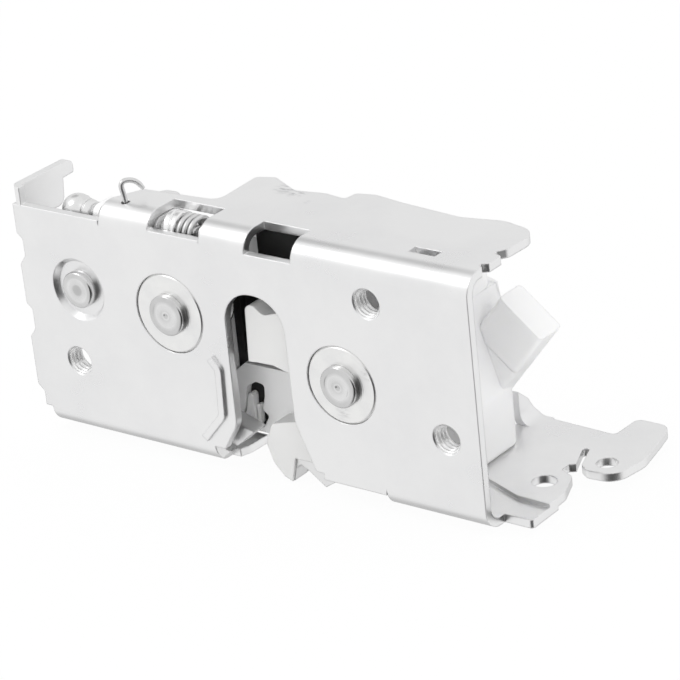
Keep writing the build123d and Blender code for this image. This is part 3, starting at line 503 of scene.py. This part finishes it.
def wire(path, radius, sides=14):
    """Round tube along a path: circles across its direction, drawn in a little at both ends."""
    direction = np.gradient(path, axis=0)
    direction /= np.linalg.norm(direction, axis=1)[:, None]
    across = np.cross(direction, (1.0, -1.0, 0.3))
    across /= np.linalg.norm(across, axis=1)[:, None]
    upward = np.cross(direction, across)
    turn = np.linspace(0.0, 2 * np.pi, sides, endpoint=False)[None, :, None]
    circle = np.cos(turn) * across[:, None, :] + np.sin(turn) * upward[:, None, :]
    thickness = np.full(len(path), radius)
    thickness[[0, -1]] = 0.75 * radius
    return path[:, None, :] + thickness[:, None, None] * circle


wire_light, wire_dark = (0.74, 0.74, 0.74), (0.6, 0.6, 0.61)
wire_steel = plated_steel("spring_wire", wire_light, wire_dark, 0.24, (1800, 300, 300))
top_radius, wide_radius, top_wire = 2.2, 3.2, 0.55
shaft_v, front_y, hook_u, hook_y, run_v = 48.7, 3.9, 28.2, 4.1, 44.1
towards_front, upwards = (0.0, -1.0, 0.0), (0.0, 0.0, 1.0)
shaft_y, coil_u, lever_coil_u, leg_bend = 6.1, 42.4, 30.0, 1.7
hook_leg = bent([
    spot(hook_u + 1.9, 55.3, hook_y + 3.7),
    spot(hook_u + 1.0, 57.6, hook_y + 2.5),
    spot(hook_u - 0.7, 57.9, hook_y - 0.3),
    spot(hook_u, 54.0, hook_y),
    spot(hook_u, run_v, hook_y),
    spot(coil_u - 0.2, run_v, front_y),
    spot(coil_u, shaft_v - 0.2, shaft_y - wide_radius),
], leg_bend)
hook_middle = spot(coil_u, shaft_v, shaft_y)
hook_coil = coil(hook_middle, towards_front, upwards, length_axis, wide_radius, 2.6, 1.4)
hook = wire(np.concatenate([hook_leg, hook_coil]), top_wire)
skin("hook_wire", hook, False, wire_steel, "frame", "spring_steel", "hook_spring")

leg_foot = spot(lever_coil_u, shaft_v - 3.6, front_y)
leg_head = spot(lever_coil_u, shaft_v - 0.3, front_y)
lever_leg = np.linspace(leg_foot, leg_head, 6)
lever_middle = spot(lever_coil_u, shaft_v, shaft_y)
lever_coil = coil(lever_middle, towards_front, upwards, length_axis, top_radius, 2.8, 1.3)
lever_winding = wire(np.concatenate([lever_leg, lever_coil]), top_wire)
skin("lever_wire", lever_winding, False, wire_steel, "frame", "spring_steel", "lever_spring")

pivot_coil_radius, pivot_coil_pitch, pivot_wire = 7.4, 1.25, 0.6
pivot_coils = (("claw", claw_place, 8.65, 1.6, 20), ("pawl", pawl_place, 8.05, 2.3, 60))
for name, centre, start_y, turns, degrees in pivot_coils:
    angle = np.radians(degrees)
    first = (np.cos(angle), 0.0, np.sin(angle))
    second = (np.sin(angle), 0.0, -np.cos(angle))
    start = np.array(centre) + (0.0, start_y, 0.0)
    winding = coil(start, first, second, depth_axis, pivot_coil_radius, turns, pivot_coil_pitch)
    tube = wire(winding, pivot_wire)
    skin(name + "_wire", tube, False, wire_steel, "frame", "spring_steel", name + "_spring")


# Bumper and buffer. Black moulded rubber; the bumper stops the claw softly.
# Both are written near black as painted shade for the dark inside of the housing.
# The bumper is the dark body behind the slot, the buffer a dark sheet that closes the upper window where
# there is only shade.
def rubber(name):
    """Matt rubber: near black with a dusty bloom and a fine pebble relief."""
    material, links, surface, add = shader(name)
    bloom = add("TexNoise", Scale=180.0, Detail=5.0)
    links.new(place(add, links), bloom.inputs["Vector"])
    colour = ramp(add, links, bloom.outputs["Fac"], [(0.35, 0.008), (0.75, 0.02)])
    links.new(colour, surface.inputs["Base Color"])
    surface.inputs["Roughness"].default_value = 0.7
    links.new(rounded(add, links, bloom.outputs["Fac"], 0.2, 0.00005, 0.0005), surface.inputs["Normal"])
    return material


# Near black on both pieces: painted shade standing for the housing's dark inside.
dress(rubber("bumper_rubber"), "stop_bumper", "upper_buffer")


# Actuator. A white moulded case with a screwed cover and a connector socket set at an angle.
# The plastic is semi-gloss and slightly translucent at its edges.
case_plastic = moulded("case_plastic", (0.93, 0.93, 0.93), (0.91, 0.91, 0.915), 0.38, 0.3)
dress(case_plastic, "actuator_case", "actuator_cover", "connector_socket")
dress(moulded("gear_acetal", (0.84, 0.83, 0.78), (0.8, 0.79, 0.74), 0.4, 0.1), "drive_gear")
dress(plated_steel("motor_can", (0.7, 0.7, 0.7), (0.58, 0.58, 0.58), 0.35), "motor", "motor_shaft")
screw_steel = plated_steel("screw_zinc", (0.78, 0.78, 0.76), (0.66, 0.66, 0.64), 0.3)
dress(screw_steel, "cover_screws", "case_screws")


def brass(name):
    """Tinned brass: warm metal with grey worn patches from noise."""
    material, links, surface, add = shader(name)
    surface.inputs["Metallic"].default_value = 1.0
    wear = add("TexNoise", Scale=700.0, Detail=4.0)
    links.new(place(add, links), wear.inputs["Vector"])
    stops = [(0.4, (0.78, 0.62, 0.3)), (0.6, (0.75, 0.72, 0.66))]
    links.new(ramp(add, links, wear.outputs["Fac"], stops), surface.inputs["Base Color"])
    surface.inputs["Roughness"].default_value = 0.3
    links.new(rounded(add, links, wear.outputs["Fac"], 0.1, 0.00002, 0.0001), surface.inputs["Normal"])
    return material


dress(brass("terminal_brass"), "terminal_pins", "motor_pinion")


# Studio. A white floor and surround, three broad lamps, and cards that the metal mirrors.
# Mirror rays pass through the floor to the surround, so it is lit as on a glass table.
floor_tone = 0.95


def floor_white():
    """White floor: plain white to the camera, a matt surface to diffuse light, clear to mirror rays."""
    material, links, surface, add = shader("floor_white")
    surface.inputs["Base Color"].default_value = (floor_tone, floor_tone, floor_tone, 1)
    surface.inputs["Roughness"].default_value = 0.9
    path = add("LightPath")
    white = add("Emission")
    seen = add("MixShader")
    white_share = combine(add, links, "MULTIPLY", path.outputs["Is Camera Ray"], floor_tone)
    links.new(white_share, seen.inputs["Fac"])
    links.new(surface.outputs["BSDF"], seen.inputs[1])
    links.new(white.outputs["Emission"], seen.inputs[2])
    clear = add("BsdfTransparent")
    mirror = add("MixShader")
    links.new(path.outputs["Is Glossy Ray"], mirror.inputs["Fac"])
    links.new(seen.outputs["Shader"], mirror.inputs[1])
    links.new(clear.outputs["BSDF"], mirror.inputs[2])
    output = next(n for n in material.node_tree.nodes if n.type == "OUTPUT_MATERIAL")
    links.new(mirror.outputs["Shader"], output.inputs["Surface"])
    return material


floor_mesh = bpy.data.meshes.new("floor")
reach, low = 3.0, cad_box[0][2] - 0.0002
corners = [(-reach, -reach, low), (reach, -reach, low), (reach, reach, low), (-reach, reach, low)]
floor_mesh.from_pydata(corners, [], [(0, 1, 2, 3)])
floor = bpy.data.objects.new("floor", floor_mesh)
bpy.context.scene.collection.objects.link(floor)
floor_mesh.materials.append(floor_white())

world = bpy.data.worlds.new("studio")
bpy.context.scene.world = world
world.use_nodes = True
world.cycles.sampling_method = "NONE"


def add_world(kind, **settings):
    """New node of the world with its settings."""
    node = world.node_tree.nodes.new("ShaderNode" + kind)
    for key, value in settings.items():
        setattr(node, key, value)
    return node


# Each card: the direction towards it, the cosines at its edge and inside it, and its brightness.
wires = world.node_tree.links
direction = add_world("TexCoord").outputs["Generated"]
mirrored = None
mirror_level = 0.93
cards = [
    ((0.72, -0.66, -0.21), 0.7, 0.9, 0.04),
    ((0.18, -0.72, -0.67), 0.86, 0.96, 0.2),
    ((-0.58, -0.41, 0.704), 0.8, 0.96, 1.085),
    ((-0.58, 0.38, 0.72), 0.95, 0.995, 0.62),
    ((-0.5, 0.75, 0.3), 0.55, 0.85, 0.93),
    ((-0.3, 0.45, -0.84), 0.6, 0.9, 0.6),
]
for aim, edge, full, level in cards:
    facing = add_world("VectorMath", operation="DOT_PRODUCT")
    facing.inputs[1].default_value = aim
    wires.new(direction, facing.inputs[0])
    card = span(add_world, wires, facing.outputs["Value"], edge, full, 1.0, level)
    mirrored = card if mirrored is None else combine(add_world, wires, "MULTIPLY", mirrored, card)
sky = world.node_tree.nodes["Background"]
sky.inputs["Color"].default_value = (1, 1, 1, 1)
path = add_world("LightPath")
glossy = add_world("Mix", data_type="FLOAT")
glossy.inputs["A"].default_value = 1.0
wires.new(path.outputs["Is Glossy Ray"], glossy.inputs["Factor"])
wires.new(combine(add_world, wires, "MULTIPLY", mirrored, mirror_level), glossy.inputs["B"])
seen = add_world("Mix", data_type="FLOAT")
seen.inputs["B"].default_value = 1.0
wires.new(path.outputs["Is Camera Ray"], seen.inputs["Factor"])
wires.new(glossy.outputs["Result"], seen.inputs["A"])
wires.new(seen.outputs["Result"], sky.inputs["Strength"])


def softbox(name, spot_at, aim, size, power):
    """Square area lamp at a place, turned towards aim."""
    lamp = bpy.data.lights.new(name, "AREA")
    lamp.size = size
    lamp.energy = power
    holder = bpy.data.objects.new(name, lamp)
    holder.location = spot_at
    holder.rotation_euler = (Vector(spot_at) - Vector(aim)).to_track_quat("Z", "Y").to_euler()
    bpy.context.scene.collection.objects.link(holder)
    return holder


middle = (-0.03, 0.01, -0.02)
softbox("key", (-0.56, -0.42, 0.7), middle, 0.4, 1.0)
softbox("front", (0.25, -1.0, 0.1), middle, 0.7, 3.2).visible_glossy = False
softbox("side", (0.88, -0.68, 0.0), middle, 0.7, 1.9).visible_glossy = False

camera = bpy.data.cameras.new("camera")
camera.sensor_width = 36.0
camera.lens = 168.1
camera_object = bpy.data.objects.new("camera", camera)
right = Vector((0.79444, 0.599235, -0.098903))
down = Vector((0.17378, -0.380318, -0.908382))
ahead = Vector((-0.581949, 0.704468, -0.406276))
turn = Matrix((right, -down, -ahead)).transposed()
camera_at = Vector((0.349307, -0.431671, 0.240097))
camera_object.matrix_world = Matrix.LocRotScale(camera_at, turn.to_quaternion(), None)
bpy.context.scene.collection.objects.link(camera_object)
bpy.context.scene.camera = camera_object
bpy.context.scene.view_settings.view_transform = "Standard"
